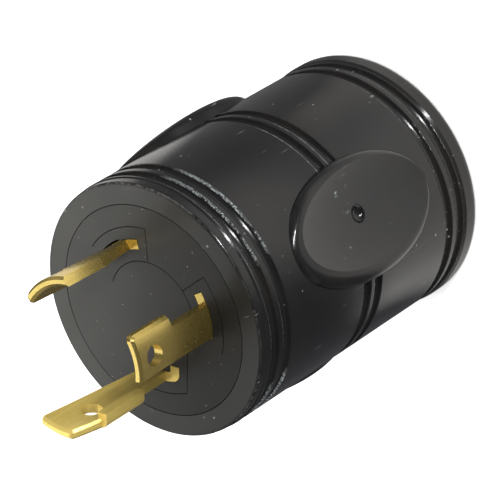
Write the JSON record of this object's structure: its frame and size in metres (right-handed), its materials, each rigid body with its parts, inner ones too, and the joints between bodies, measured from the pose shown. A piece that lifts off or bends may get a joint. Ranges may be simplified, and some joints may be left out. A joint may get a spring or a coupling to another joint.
{
  "type": "twist-lock plug adapter",
  "caption": "Round one-piece moulded power adapter: curved twist-lock brass blades on one end, caravan power socket on the other, dished thumb pads round the middle.",
  "frame": {"origin": "centre of the flat rear (socket) face, which the adapter stands on", "axes": "+Z along the plug axis towards the blades, +X out through the middle of the first thumb pad"},
  "size_m": [0.0507, 0.0542, 0.0904],
  "materials": {
    "overmould": "satin black, softly glossy, slightly scuffed",
    "plug_face": "matte dark grey, finely textured",
    "blade_brass": "brushed brass with bright cut edges",
    "inner_plastic": "matte, moulded",
    "inner_fill": "matte, moulded",
    "socket_plastic": "matte black, finely textured",
    "contact_metal": "plain stamped brass",
    "copper": "bare stranded copper",
    "sleeve_black": "soft sleeve, black",
    "sleeve_white": "soft sleeve, white",
    "sleeve_green": "soft sleeve, green",
    "crimp_metal": "tin-plated"
  },
  "bodies": {
    "root": {"outer_housing": "overmould", "plug_face_ring": "plug_face", "plug_hub": "plug_face", "blade_holder_neutral": "plug_face", "blade_holder_hot": "plug_face", "blade_holder_ground": "plug_face", "blade_neutral": "blade_brass", "blade_hot": "blade_brass", "blade_ground": "blade_brass", "plug_back_plate": "inner_plastic", "inner_premould": "inner_fill", "socket_face": "socket_plastic", "socket_contact_block": "inner_plastic", "socket_back_plate": "inner_plastic", "contact_hot": "contact_metal", "contact_neutral": "contact_metal", "contact_ground": "contact_metal", "wire_core_hot": "copper", "wire_sleeve_hot": "sleeve_black", "plug_crimp_hot": "crimp_metal", "socket_crimp_hot": "crimp_metal", "wire_core_neutral": "copper", "wire_sleeve_neutral": "sleeve_white", "plug_crimp_neutral": "crimp_metal", "socket_crimp_neutral": "crimp_metal", "wire_core_ground": "copper", "wire_sleeve_ground": "sleeve_green", "plug_crimp_ground": "crimp_metal", "socket_crimp_ground": "crimp_metal"}
  },
  "joints": []
}
